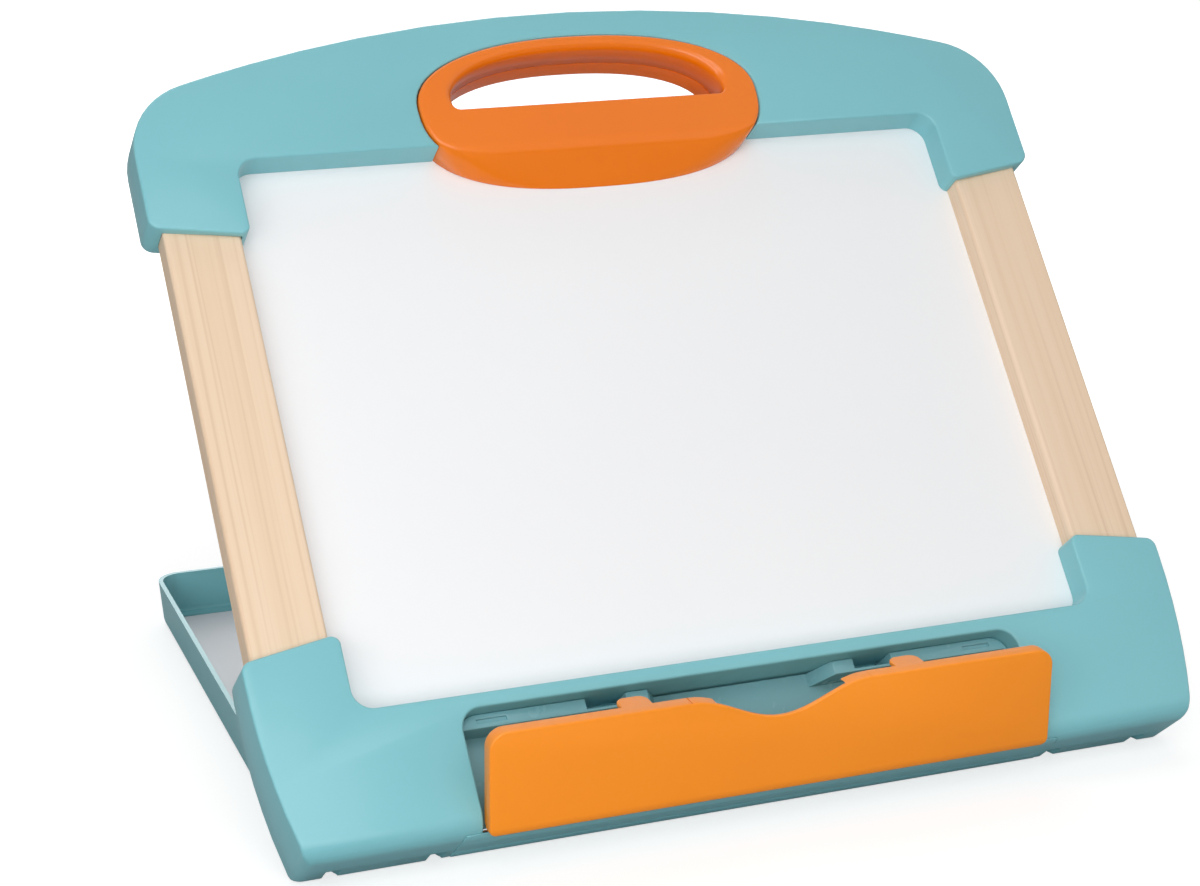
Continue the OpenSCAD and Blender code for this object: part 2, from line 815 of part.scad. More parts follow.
// Moulded insert behind the flap: floor, walls, a ledge with two latch slots and a finger well
module pocket_liner() {
    half = pocket_half - 0.3;
    t = 1.8;
    low = sill_top_v + 0.3;
    step_v = foot_v + wall + 1.2;
    step_n = sill_back_n + wall + 5.2;
    top = pocket_top_v - 0.2;
    floor_n = -pocket_d;
    well = notch_span / 2 + 2.5;
    slot_h = 4.2;
    color(teal_dark)
        on_board()
            difference() {
                intersection() {
                    union() {
                        translate([-half, step_v, floor_n - t])
                            cube([2 * half, top - step_v, t]);
                        translate([-half, low, base_part_n + seat])
                            cube([2 * half, step_v + t - low, step_n - base_part_n - seat]);
                        translate([-half, step_v, floor_n - t])
                            cube([2 * half, t, step_n - floor_n + t]);
                        both_sides()
                            translate([half - t, foot_v + 6, floor_n - t])
                                cube([t, top - foot_v - 6, ledge_n - floor_n + t]);
                        both_sides()
                            translate([0, top - ledge_h, 0])
                                rotate([-90, 0, 0])
                                    linear_extrude(ledge_h)
                                        polygon([[well, -ledge_n], [half, -ledge_n], [half, -floor_n + cut],
                                                 [well - 7, -floor_n + cut]]);
                    }
                    translate([0, 0, floor_n - t - cut])
                        linear_extrude(pocket_d + t)
                            polygon(rounded([[-half, low - cut, 0], [half, low - cut, 0],
                                             [half, top, pocket_corner_r], [-half, top, pocket_corner_r]]));
                }
                both_sides()
                    translate([latch_x - latch_w / 2 - 2, top - slot_h, floor_n - t - cut])
                        cube([latch_w + 4, slot_h + cut, ledge_n - floor_n + t + 2 * cut]);
                both_sides()
                    translate([half - 20, top - 3.4, ledge_n - 1])
                        cube([12, 1.4, 1 + cut]);
            }
}

// The side walls of the flap end clear of its pins, so that they pass the sill as it opens
module front_flap() {
    half = flap_half;
    top = flap_top_v;
    face = rounded([[-half, flap_low_v, flap_corner_r], [half, flap_low_v, flap_corner_r], [half, top, 7],
                    [-half, top, 7]]);
    color(orange)
        on_board()
            flap_swing()
                difference() {
                    union() {
                        difference() {
                            intersection() {
                                translate([0, 0, lip_t - flap_rim])
                                    linear_extrude(flap_rim)
                                        polygon(face);
                                across(2 * half + 2 * cut)
                                    flap_section();
                            }
                            translate([0, 0, lip_t - flap_rim - cut])
                                linear_extrude(flap_rim - flap_t + cut)
                                    polygon(inset(face, flap_wall));
                            across(2 * (half - flap_wall))
                                translate([bend_v, bend_n])
                                    circle(r = foot_r - flap_t - 0.05);
                        }
                        both_sides()
                            translate([flap_arm_x + flap_arm_w / 2, 0, 0])
                                across(flap_arm_w)
                                    flap_arm();
                        both_sides()
                            latch_tongue(top);
                    }
                    flap_notch(top);
                    both_sides()
                        translate([flap_arm_x + flap_arm_w + pass, flap_pin_v, flap_pin_n])
                            rotate([0, 90, 0])
                                cylinder(r = flap_reach - seat, h = 2 * flap_wall + flap_arm_w);
                    both_sides()
                        translate([flap_arm_x - cut, flap_pin_v, flap_pin_n])
                            rotate([0, 90, 0])
                                cylinder(r = flap_pin_r + pin_fit, h = flap_arm_w + 2 * cut);
                }
}

// Height and depth of the flap's outside: its lower end follows the rounded edge of the foot
module flap_section() {
    translate([bend_v, bend_n])
        circle(r = foot_r);
    translate([bend_v, bend_n - foot_r])
        square([pocket_h, 2 * foot_r]);
}

// Section of an arm: a knuckle round the pin and a neck that clears the lip when the flap is open
module flap_arm() {
    neck = 1.3;
    root_v = [bend_v + 1.5, bend_v + 7];
    root_n = lip_t - flap_t + cut;
    translate([flap_pin_v, flap_pin_n])
        circle(r = flap_knuckle_r);
    polygon([[flap_pin_v - neck * sin(48), flap_pin_n + neck * cos(48)], [root_v[0], root_n],
             [root_v[1], root_n], [flap_pin_v + flap_knuckle_r, flap_pin_n]]);
}

// A tongue on the flap's rim that enters the slot in the pocket's ledge
module latch_tongue(top) {
    reach = 8;
    translate([latch_x, top, lip_t - flap_rim])
        rotate([90, 0, 0])
            linear_extrude(2)
                polygon(rounded([[-latch_w / 2, cut, 0], [-latch_w / 2, -reach, 4], [latch_w / 2, -reach, 4],
                                 [latch_w / 2, cut, 0]]));
}

// The finger notch: a smooth dip in the flap's upper edge
module flap_notch(top) {
    k = 24;
    dip = [for (i = [0 : k])
        let (x = notch_span * (i / k - 0.5))
        [x, top - notch_drop * (1 + cos(360 * x / notch_span)) / 2 - 0.01]];
    translate([0, 0, lip_t - flap_rim - cut])
        linear_extrude(flap_rim + 2 * cut)
            polygon(concat(dip, [[notch_span / 2, top + 5], [-notch_span / 2, top + 5]]));
}

module flap_pins() {
    color("silver")
        on_board()
            both_sides()
                translate([flap_arm_x, flap_pin_v, flap_pin_n])
                    rotate([0, 90, 0])
                        cylinder(r = flap_pin_r, h = pocket_half - flap_arm_x + wall - cut);
}

tray_corner_r = 12;
tray_draft = 1.8;
tray_ledge = 6;
// Plan outline of the tray at its rim, drawn in at d all round
rim_end_u = near_u + (tray_h - rim_near) / back_slope;
function tray_side(u) = (tray_w_near + (tray_w_far - tray_w_near) * (u - near_u) / (tray_len - near_u)) / 2;
function tray_outline(d) = inset(rounded([
    [-tray_side(near_u), near_u, tray_corner_r],
    [tray_side(near_u), near_u, tray_corner_r],
    [tray_side(rim_end_u), rim_end_u, 0],
    [tray_side(tray_len), tray_len, tray_corner_r],
    [-tray_side(tray_len), tray_len, tray_corner_r],
    [-tray_side(rim_end_u), rim_end_u, 0]], 10), d);

// The rim rises from the hinge, to stay clear of the sloping rear of the base when the tray is folded up
function rim_z(u) = min(tray_h, rim_near + back_slope * (u - near_u));

// One ring of the tray's wall: at height z, or on the rim when z is negative
function tray_ring(d, z) = [for (p = tray_outline(d)) [p[0], p[1], z < 0 ? rim_z(p[1]) : min(z, rim_z(p[1]) - 1)]];

module tray_frame() {
    low_r = 3;
    inner_r = 2;
    inside = tray_wall + tray_draft;
    rings = concat(
        [for (k = [0 : 3]) let (a = 90 * k / 3) tray_ring(tray_draft + low_r * (1 - sin(a)), low_r * (1 - cos(a)))],
        [tray_ring(seat, -1), tray_ring(tray_wall, -1)],
        [for (k = [3 : -1 : 0]) let (a = 90 * k / 3)
            tray_ring(inside + inner_r * (1 - sin(a)), ledge_z + inner_r * (1 - cos(a)))],
        [tray_ring(inside + tray_ledge, ledge_z), tray_ring(inside + tray_ledge + seat, tray_floor)]);
    color(teal)
        on_tray()
            difference() {
                union() {
                    loft(rings);
                    both_sides()
                        translate([(ear_x[1] + ear_x[2]) / 2, 0, 0])
                            across(ear_x[2] - ear_x[1] - 2 * pass)
                                union() {
                                    translate([0, hinge_z])
                                        circle(r = ear_r);
                                    translate([0, hinge_z - ear_r])
                                        square([near_u + tray_draft + 1, 2 * ear_r]);
                                }
                }
                both_sides()
                    translate([ear_x[0], 0, hinge_z])
                        rotate([0, 90, 0])
                            cylinder(r = hinge_pin_r + pin_fit, h = ear_x[3] - ear_x[0]);
            }
}

// A solid through rings of equally many points, each ring counter-clockwise from above
module loft(rings) {
    n = len(rings[0]);
    last = len(rings) - 1;
    sides = [for (k = [0 : last - 1]) for (i = [0 : n - 1]) for (t = [0, 1])
        let (a = k * n + i, b = k * n + (i + 1) % n, c = (k + 1) * n + (i + 1) % n, d = (k + 1) * n + i)
        t == 0 ? [a, c, b] : [a, d, c]];
    polyhedron([for (r = rings) for (p = r) p],
               concat(sides, [[for (i = [0 : n - 1]) i]], [[for (i = [n - 1 : -1 : 0]) last * n + i]]));
}

module tray_panel() {
    color([0.86, 0.87, 0.89])
        on_tray()
            translate([0, 0, tray_floor])
                linear_extrude(panel_t)
                    polygon(tray_outline(tray_wall + tray_draft + tray_ledge + 2 * seat));
}

module tray_hinge_pins() {
    color("silver")
        on_tray()
            both_sides()
                translate([ear_x[0], 0, hinge_z])
                    rotate([0, 90, 0])
                        cylinder(r = hinge_pin_r, h = ear_x[3] - ear_x[0]);
}

// The prop is a bent wire: two legs, a foot bar and two pivots turned outwards
module prop_wire() {
    leg = prop_len - 2 * prop_bend;
    color("gainsboro")
        on_board()
            translate([0, prop_pivot_v, prop_n])
                rotate([-prop_angle, 0, 0]) {
                    both_sides() {
                        translate([prop_w / 2, prop_bend, 0])
                            rotate([-90, 0, 0])
                                cylinder(r = prop_r, h = leg);
                        translate([prop_w / 2 + prop_bend, prop_bend, 0])
                            rotate([0, 0, 180])
                                rotate_extrude(angle = 90)
                                    translate([prop_bend, 0])
                                        circle(r = prop_r);
                        translate([prop_w / 2 + prop_bend, 0, 0])
                            rotate([0, 90, 0])
                                cylinder(r = prop_r, h = bracket_w);
                        translate([prop_w / 2 - prop_bend, prop_len - prop_bend, 0])
                            rotate_extrude(angle = 90)
                                translate([prop_bend, 0])
                                    circle(r = prop_r);
                    }
                    translate([-prop_w / 2 + prop_bend, prop_len, 0])
                        rotate([0, 90, 0])
                            cylinder(r = prop_r, h = prop_w - 2 * prop_bend);
                }
}

// A moulded block screwed to the board's back, with the bore for one end of the prop
module prop_bracket(side) {
    drop = back_n - prop_n + prop_r + 2;
    color(teal_dark)
        on_board()
            scale([side, 1, 1])
                difference() {
                    union() {
                        translate([bracket_x, prop_pivot_v, prop_n])
                            rotate([0, 90, 0])
                                cylinder(r = prop_r + 2, h = bracket_w);
                        translate([bracket_x, prop_pivot_v - prop_r - 2, prop_n])
                            cube([bracket_w, 2 * prop_r + 4, back_n - prop_n]);
                        translate([bracket_x, prop_pivot_v - bracket_screw_dv - 4, back_n - 2.5])
                            cube([bracket_w, 2 * bracket_screw_dv + 8, 2.5]);
                    }
                    translate([bracket_x - cut, prop_pivot_v, prop_n])
                        rotate([0, 90, 0])
                            cylinder(r = prop_r + pin_fit, h = bracket_w + 2 * cut);
                    for (dv = [-bracket_screw_dv, bracket_screw_dv])
                        pilot_hole(bracket_x + bracket_w / 2, prop_pivot_v + dv, back_n - drop, back_n + cut,
                                   small_shank_r);
                }
}

module prop_bracket_left() {
    prop_bracket(-1);
}

module prop_bracket_right() {
    prop_bracket(1);
}

// Non-slip strip on the tray's floor under the prop's foot bar
module prop_rest_strip() {
    foot_u = prop_v * cos(board_angle) - (prop_n - hinge_n) * sin(board_angle)
             + prop_len * cos(prop_angle - board_angle);
    color([0.25, 0.27, 0.3])
        on_tray()
            translate([-prop_w / 2, foot_u - strip_w / 2, tray_floor + panel_t])
                cube([prop_w, strip_w, strip_t]);
}

module cap_screws() {
    color("dimgray")
        on_board()
            for (s = cap_screw_xv)
                both_sides()
                    screw(s[0], s[1], cap_head_n, back_n + screw_reach, shank_r, head_r, head_h);
}

module base_screws() {
    color("dimgray")
        on_board()
            for (s = base_screw_xv)
                both_sides()
                    screw(s[0], s[1], base_head_n, back_n + screw_reach, shank_r, head_r, head_h);
}

module rail_screws() {
    color("dimgray")
        on_board()
            both_sides() {
                screw(rail_mid, rail_screw_v[0], rail_head_n, back_n + screw_reach, shank_r, head_r, head_h);
                screw(rail_mid, rail_screw_v[1], cap_head_n, back_n + screw_reach, shank_r, head_r, head_h);
            }
}

module handle_screws() {
    color("dimgray")
        on_board()
            for (s = handle_screw_xv)
                both_sides()
                    screw(s[0], s[1], handle_head_n, sheet_n + screw_reach - 1, small_shank_r, small_head_r, small_head_h);
}

module bracket_screws() {
    color("dimgray")
        on_board()
            both_sides()
                for (dv = [-bracket_screw_dv, bracket_screw_dv])
                    screw(bracket_x + bracket_w / 2, prop_pivot_v + dv, back_n - 2.5 - small_head_h,
                          sheet_n - sheet_t - 0.3, small_shank_r, small_head_r, small_head_h);
}

top_cap_front();
top_cap_rear();
base_front();
base_rear();
rail_left();
rail_right();
whiteboard_sheet();
board_core();
handle_front();
handle_rear();
pocket_liner();
front_flap();
flap_pins();
tray_frame();
tray_panel();
tray_hinge_pins();
prop_wire();
prop_bracket_left();
prop_bracket_right();
prop_rest_strip();
cap_screws();
base_screws();
rail_screws();
handle_screws();
bracket_screws();
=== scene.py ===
"""Desk easel whiteboard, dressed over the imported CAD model. Metres, in the model's own frame."""
import json
import math

import bmesh
import bpy
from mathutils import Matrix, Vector


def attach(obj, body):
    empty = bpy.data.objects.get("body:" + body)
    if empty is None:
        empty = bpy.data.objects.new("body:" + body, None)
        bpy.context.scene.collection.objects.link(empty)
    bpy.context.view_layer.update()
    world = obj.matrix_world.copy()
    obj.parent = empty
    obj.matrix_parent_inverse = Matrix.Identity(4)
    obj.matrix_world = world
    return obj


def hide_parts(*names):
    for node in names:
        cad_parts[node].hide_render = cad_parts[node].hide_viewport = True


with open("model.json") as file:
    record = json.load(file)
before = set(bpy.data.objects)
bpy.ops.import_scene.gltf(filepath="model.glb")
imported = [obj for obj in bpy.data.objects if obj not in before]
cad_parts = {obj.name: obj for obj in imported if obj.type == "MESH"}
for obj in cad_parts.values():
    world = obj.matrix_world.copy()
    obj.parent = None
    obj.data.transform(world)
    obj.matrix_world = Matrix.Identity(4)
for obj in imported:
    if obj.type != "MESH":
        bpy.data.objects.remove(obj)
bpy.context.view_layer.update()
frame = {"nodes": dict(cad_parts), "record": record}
nodes = frame["nodes"]
MM = 0.001

# The board's own frame: x across, v up the board, n out of its face, in millimetres
TILT = math.radians(50.4)
COS, SIN = math.cos(TILT), math.sin(TILT)
FOOT_LIFT = -4.0977
MIDDLE_Y = 171.6967


def from_board(x, v, n):
    """A point of the board's frame, in the row frame."""
    return Vector((x, v * COS - n * SIN - MIDDLE_Y, v * SIN + n * COS + FOOT_LIFT)) * MM


def to_board(p):
    """A point of the row frame, as x, v, n in millimetres."""
    y = p[1] / MM + MIDDLE_Y
    z = p[2] / MM - FOOT_LIFT
    return p[0] / MM, y * COS + z * SIN, z * COS - y * SIN


# Camera, at the photograph's angle
camera = bpy.data.cameras.new("camera")
camera.sensor_width = 36.0
camera.lens = 78.77
camera_object = bpy.data.objects.new("camera", camera)
bpy.context.scene.collection.objects.link(camera_object)
camera_object.location = (-0.40605, -0.98564, 0.42276)
camera_object.rotation_euler = (math.radians(73.637), 0.0, math.radians(-21.897))
bpy.context.scene.camera = camera_object


# Materials
def srgb(r, g, b):
    """Linear colour of an sRGB colour given in 0 to 255."""
    def one(c):
        c = c / 255.0
        return c / 12.92 if c <= 0.04045 else ((c + 0.055) / 1.055) ** 2.4
    return (one(r), one(g), one(b), 1.0)


class Shader:
    """A material's node tree, built by short calls."""

    def __init__(self, name):
        self.material = bpy.data.materials.new(name)
        self.material.use_nodes = True
        self.tree = self.material.node_tree
        self.bsdf = self.tree.nodes["Principled BSDF"]
        coordinates = self.tree.nodes.new("ShaderNodeTexCoord")
        self.place = coordinates.outputs["Object"]

    def set(self, **values):
        for key, value in values.items():
            self.bsdf.inputs[key.replace("_", " ")].default_value = value

    def link(self, a, b):
        self.tree.links.new(a, b)

    def mapped(self, scale, turn=None):
        """Object coordinates, turned first and then stretched."""
        vector = self.place
        for field, value in (("Rotation", turn), ("Scale", scale)):
            if value is not None:
                mapping = self.tree.nodes.new("ShaderNodeMapping")
                mapping.inputs[field].default_value = value
                self.link(vector, mapping.inputs["Vector"])
                vector = mapping.outputs["Vector"]
        return vector

    def noise(self, vector, scale, detail=3.0, rough=0.55, distortion=0.0):
        node = self.tree.nodes.new("ShaderNodeTexNoise")
        node.inputs["Scale"].default_value = scale
        node.inputs["Detail"].default_value = detail
        node.inputs["Roughness"].default_value = rough
        node.inputs["Distortion"].default_value = distortion
        self.link(vector, node.inputs["Vector"])
        return node.outputs["Fac"]

    def ramp(self, value, stops):
        node = self.tree.nodes.new("ShaderNodeValToRGB")
        points = node.color_ramp.elements
        while len(points) < len(stops):
            points.new(0.5)
        for point, (place, colour) in zip(points, stops):
            point.position = place
            point.color = colour
        self.link(value, node.inputs["Fac"])
        return node.outputs["Color"]

    def spread(self, value, low, high):
        node = self.tree.nodes.new("ShaderNodeMapRange")
        node.inputs["To Min"].default_value = low
        node.inputs["To Max"].default_value = high
        self.link(value, node.inputs["Value"])
        return node.outputs["Result"]

    def blend(self, factor, a, b):
        node = self.tree.nodes.new("ShaderNodeMix")
        node.data_type = "RGBA"
        self.link(factor, node.inputs["Factor"])
        for socket, value in ((node.inputs["A"], a), (node.inputs["B"], b)):
            if isinstance(value, tuple):
                socket.default_value = value
            else:
                self.link(value, socket)
        return node.outputs["Result"]

    def bump(self, height, strength, distance):
        node = self.tree.nodes.new("ShaderNodeBump")
        node.inputs["Strength"].default_value = strength
        node.inputs["Distance"].default_value = distance
        self.link(height, node.inputs["Height"])
        self.link(node.outputs["Normal"], self.bsdf.inputs["Normal"])

    def colour(self, socket):
        self.link(socket, self.bsdf.inputs["Base Color"])

    def roughness(self, socket):
        self.link(socket, self.bsdf.inputs["Roughness"])


def plastic(name, light, dark, rough, grain=0.12, coat=0.0):
    """Moulded plastic: slightly mottled colour, a faint moulded grain and uneven gloss."""
    s = Shader(name)
    cloud = s.noise(s.place, 9.0, 4.0)
    s.colour(s.ramp(cloud, [(0.3, dark), (0.7, light)]))
    s.roughness(s.spread(s.noise(s.place, 60.0, 5.0), rough - 0.04, rough + 0.05))
    s.bump(s.noise(s.place, 2600.0, 2.0), grain, 0.00012)
    s.set(IOR=1.48, Coat_Weight=coat, Coat_Roughness=0.12)
    return s.material


teal = plastic("teal_plastic", srgb(128, 193, 201), srgb(123, 189, 198), 0.3)
# The liner is the shell's own teal plastic; its slightly darker colour is painted shade for where it sits
# inside the pocket.
teal_liner_painted_shade = plastic("teal_liner_plastic_painted_shade", srgb(128, 184, 193), srgb(121, 178, 188), 0.26)
orange = plastic("orange_flap_plastic", srgb(252, 148, 30), srgb(249, 144, 26), 0.34)
orange_deep = plastic("orange_handle_plastic", srgb(242, 124, 8), srgb(238, 119, 6), 0.2, 0.06)


def wood(name, light, dark, line, turn=None):
    """Pale close-grained wood: long straight fibres, faint growth lines and a matt lacquer."""
    s = Shader(name)
    fibre = s.noise(s.mapped((1500.0, 16.0, 1500.0), turn), 1.0, 3.0, 0.6)
    band = s.noise(s.mapped((120.0, 1.6, 120.0), turn), 1.0, 3.0, 0.5, 0.3)
    growth = s.noise(s.mapped((520.0, 3.2, 520.0), turn), 1.0, 2.0, 0.5, 0.2)
    base = s.ramp(band, [(0.25, dark), (0.75, light)])
    lined = s.blend(s.ramp(growth, [(0.5, (0.0, 0.0, 0.0, 1.0)), (0.72, (0.5, 0.5, 0.5, 1.0))]), base, line)
    s.colour(s.blend(s.spread(fibre, 0.0, 0.22), lined, line))
    s.roughness(s.spread(fibre, 0.48, 0.6))
    s.bump(fibre, 0.16, 0.0001)
    s.set(IOR=1.45)
    return s.material


ALONG_RAIL = (-TILT, 0.0, 0.0)
birch = wood("birch_wood", srgb(240, 216, 190), srgb(233, 206, 176), srgb(213, 178, 144), ALONG_RAIL)
hardboard = wood("hardboard_back", srgb(150, 112, 78), srgb(138, 101, 69), srgb(112, 80, 53), ALONG_RAIL)


def enamel():
    """White enamelled steel: smooth, with a very fine orange-peel surface."""
    s = Shader("white_enamel_sheet")
    s.colour(s.ramp(s.noise(s.place, 3.0, 2.0), [(0.3, srgb(240, 241, 243)), (0.7, srgb(244, 245, 246))]))
    s.roughness(s.spread(s.noise(s.place, 6.0, 2.0), 0.26, 0.3))
    s.bump(s.noise(s.place, 900.0, 1.0), 0.012, 0.0001)
    s.set(IOR=1.5)
    return s.material


def metal(name, colour, rough, scale):
    """Plated steel with fine drawn marks."""
    s = Shader(name)
    mark = s.noise(s.mapped(scale), 1.0, 4.0)
    s.colour(s.ramp(mark, [(0.3, tuple(c * 0.82 for c in colour[:3]) + (1.0,)), (0.7, colour)]))
    s.roughness(s.spread(mark, rough - 0.06, rough + 0.08))
    s.bump(mark, 0.06, 0.0001)
    s.set(Metallic=1.0)
    return s.material


def rubber():
    """Dark strip with a pebbled surface."""
    s = Shader("rubber_strip")
    pebble = s.noise(s.place, 1400.0, 2.0)
    s.colour(s.ramp(pebble, [(0.3, srgb(40, 42, 46)), (0.7, srgb(58, 60, 65))]))
    s.roughness(s.spread(pebble, 0.7, 0.85))
    s.bump(pebble, 0.5, 0.0003)
    return s.material


enamel_white = enamel()
panel_grey = plastic("grey_panel_plastic", srgb(222, 225, 230), srgb(214, 218, 224), 0.5, 0.3)
wire_steel = metal("plated_wire", srgb(206, 208, 211), 0.26, (400.0, 400.0, 400.0))
screw_steel = metal("screw_steel", srgb(168, 169, 172), 0.36, (900.0, 900.0, 900.0))
strip_rubber = rubber()

LOOKS = {
    "teal_shell": teal,
    "teal_liner": teal_liner_painted_shade,
    "orange_handle": orange_deep,
    "orange_flap": orange,
    "pale_wood": birch,
    "white_enamel": enamel_white,
    "hardboard": hardboard,
    "grey_panel": panel_grey,
    "steel_wire": wire_steel,
    "dark_rubber": strip_rubber,
    "screw_steel": screw_steel,
}
SLOT_OF = {part["node"]: part["material_slot"] for part in frame["record"]["subparts"]}


def paint(obj, material):
    obj.data.materials.clear()
    obj.data.materials.append(material)


# Pieces that stand for CAD nodes, with finished edges
def add_piece(name, mesh, body, slot_name, stands_for=()):
    """A new object that rides on a body, takes a finish and may stand for CAD nodes."""
    obj = bpy.data.objects.new(name, mesh)
    bpy.context.scene.collection.objects.link(obj)
    paint(obj, LOOKS[slot_name])
    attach(obj, body)
    if stands_for:
        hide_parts(*stands_for)
    return obj


def body_name(node):
    for body, members in frame["record"]["behaviour"]["bodies"].items():
        if node in members:
            return body
    raise KeyError(node)


MERGE, MITER = 0.000004, 0.0002
FLAT_ANGLE, SHARP_ANGLE, SMOOTH_ANGLE = 0.4, 30.0, 32.0


def refine(node, width, pick):
    """The CAD node's own shape with its picked edges rounded, in place of the node."""
    bm = bmesh.new()
    bm.from_mesh(nodes[node].data)
    bmesh.ops.remove_doubles(bm, verts=bm.verts, dist=MERGE)
    bmesh.ops.dissolve_limit(bm, angle_limit=math.radians(FLAT_ANGLE), use_dissolve_boundaries=False,
                             verts=bm.verts, edges=bm.edges)
    bm.normal_update()
    chosen = []
    for e in bm.edges:
        if len(e.link_faces) != 2:
            continue
        angle = math.degrees(e.calc_face_angle(0.0))
        convex = e.is_convex
        a, b = to_board(e.verts[0].co), to_board(e.verts[1].co)
        if angle > SHARP_ANGLE and pick(a, b, convex):
            chosen.append(e)
    bmesh.ops.bevel(bm, geom=chosen, offset=width * MM, offset_type="OFFSET", segments=3,
                    profile=0.5, affect="EDGES", clamp_overlap=False, miter_outer="ARC", spread=MITER)
    bm.normal_update()
    for f in bm.faces:
        f.smooth = True
    for e in bm.edges:
        e.smooth = len(e.link_faces) == 2 and e.calc_face_angle(0.0) < math.radians(SMOOTH_ANGLE)
    mesh = bpy.data.meshes.new(node + "_finished")
    bm.to_mesh(mesh)
    bm.free()
    mesh.validate()
    return add_piece(node + "_finished", mesh, body_name(node), SLOT_OF[node], (node,))


def outer(n_low, n_high):
    """Picks the convex edges whose ends lie between two levels through the board's thickness."""
    def pick(a, b, convex):
        return convex and n_low < a[2] < n_high and n_low < b[2] < n_high
    return pick


for name, obj in nodes.items():
    paint(obj, LOOKS[SLOT_OF[name]])


# The handle's front, with its rolled hand opening and soft chin, in millimetres of the board's frame
HANDLE_V, HANDLE_W, HANDLE_UP, HANDLE_DOWN = 328.0, 151.6, 30.6, 35.1
GRIP_V, GRIP_W, GRIP_H, GRIP_R = 326.4, 122.0, 26.4, 3.0
CORNER_SHARE = 0.1
FACE_N, SHEET_N = 5.0, -9.0
BEND_V, BEND_R, CHIN_SLOPE = 307.0, 9.0, 0.95
UP_POWER, DOWN_POWER, GRIP_POWER = 2.2, 2.6, 2.3
# Rounding of the rim, which widens on the chin: in the board's plane, down its thickness and as a share
EDGE_R, CHIN_EDGE_R = 1.4, 5.6
CHIN_DROP = 9.0
EDGE_SHARE, CHIN_SHARE = 0.45, 0.4
CHIN_START_V, CHIN_BLEND = 312.0, 13.0
# Roll into the hand opening, wider over its arch
ROLL_R, ARCH_ROLL_R, ROLL_RISE = 0.9, 3.3, 9.0
UNDERCUT = 0.25
AROUND = 144
EDGE_STEPS, FACE_STEPS, ROLL_STEPS = 8, 44, 7


def oval(width, height, power, angle):
    """A point of an oval about the origin, squarer as the power grows."""
    c, q = math.cos(angle), math.sin(angle)
    x = math.copysign(width / 2 * abs(c) ** (2 / power), c)
    return x, math.copysign(height * abs(q) ** (2 / power), q)


def handle_edge(i):
    angle = 2 * math.pi * i / AROUND
    upper = angle <= math.pi
    height, power = (HANDLE_UP, UP_POWER) if upper else (HANDLE_DOWN, DOWN_POWER)
    x, v = oval(HANDLE_W, height, power, angle)
    return x, v + HANDLE_V


def grip_edge(i):
    """The hand opening: an arch over a straight lower edge with two rounded corners."""
    angle = 2 * math.pi * i / AROUND
    if angle <= math.pi:
        x, v = oval(GRIP_W, GRIP_H - GRIP_R, GRIP_POWER, angle)
        return x, v + GRIP_V + GRIP_R
    along = angle / math.pi - 1.0
    centre = GRIP_W / 2 - GRIP_R
    if along < CORNER_SHARE:
        turn = math.pi * (1.0 + along / CORNER_SHARE / 2)
        return -centre + GRIP_R * math.cos(turn), GRIP_V + GRIP_R + GRIP_R * math.sin(turn)
    if along > 1.0 - CORNER_SHARE:
        turn = math.pi * (1.0 + (1.0 - along) / CORNER_SHARE / 2)
        return centre - GRIP_R * math.cos(turn), GRIP_V + GRIP_R + GRIP_R * math.sin(turn)
    return -centre + 2 * centre * (along - CORNER_SHARE) / (1.0 - 2 * CORNER_SHARE), GRIP_V


def moved_out(loop, by):
    """A loop of x, v points moved outwards by a distance that may differ from point to point."""
    moved = []
    for k, (x, v) in enumerate(loop):
        ax, av = loop[k - 1]
        bx, bv = loop[(k + 1) % len(loop)]
        length = math.hypot(bx - ax, bv - av)
        moved.append((x + (bv - av) / length * by[k], v - (bx - ax) / length * by[k]))
    return moved


def face_level(v):
    """Level of the handle's face: flat, then round a bend and down a slope to the board."""
    turn = math.atan(CHIN_SLOPE)
    reach = BEND_R * math.tan(turn / 2)
    if v >= BEND_V + reach:
        return FACE_N
    round_v = BEND_V + reach
    if v > round_v - BEND_R * math.sin(turn):
        return FACE_N - BEND_R + math.sqrt(BEND_R ** 2 - (round_v - v) ** 2)
    return FACE_N - (BEND_V - v) * CHIN_SLOPE


def ease(t):
    """A smooth step from 0 to 1."""
    t = min(1.0, max(0.0, t))
    return t * t * (3.0 - 2.0 * t)


def lofted(name, rings):
    """A closed ring of skin through loops of equally many points, each one x, v, n."""
    mesh = bpy.data.meshes.new(name)
    count = len(rings[0])
    points = [from_board(*p) for ring in rings for p in ring]
    faces = []
    for r in range(len(rings)):
        for k in range(count):
            a, b = r * count + k, r * count + (k + 1) % count
            c, d = (r + 1) % len(rings) * count + (k + 1) % count, (r + 1) % len(rings) * count + k
            faces.append((a, b, c, d))
    mesh.from_pydata(points, [], faces)
    mesh.validate()
    for polygon in mesh.polygons:
        polygon.use_smooth = True
    return mesh


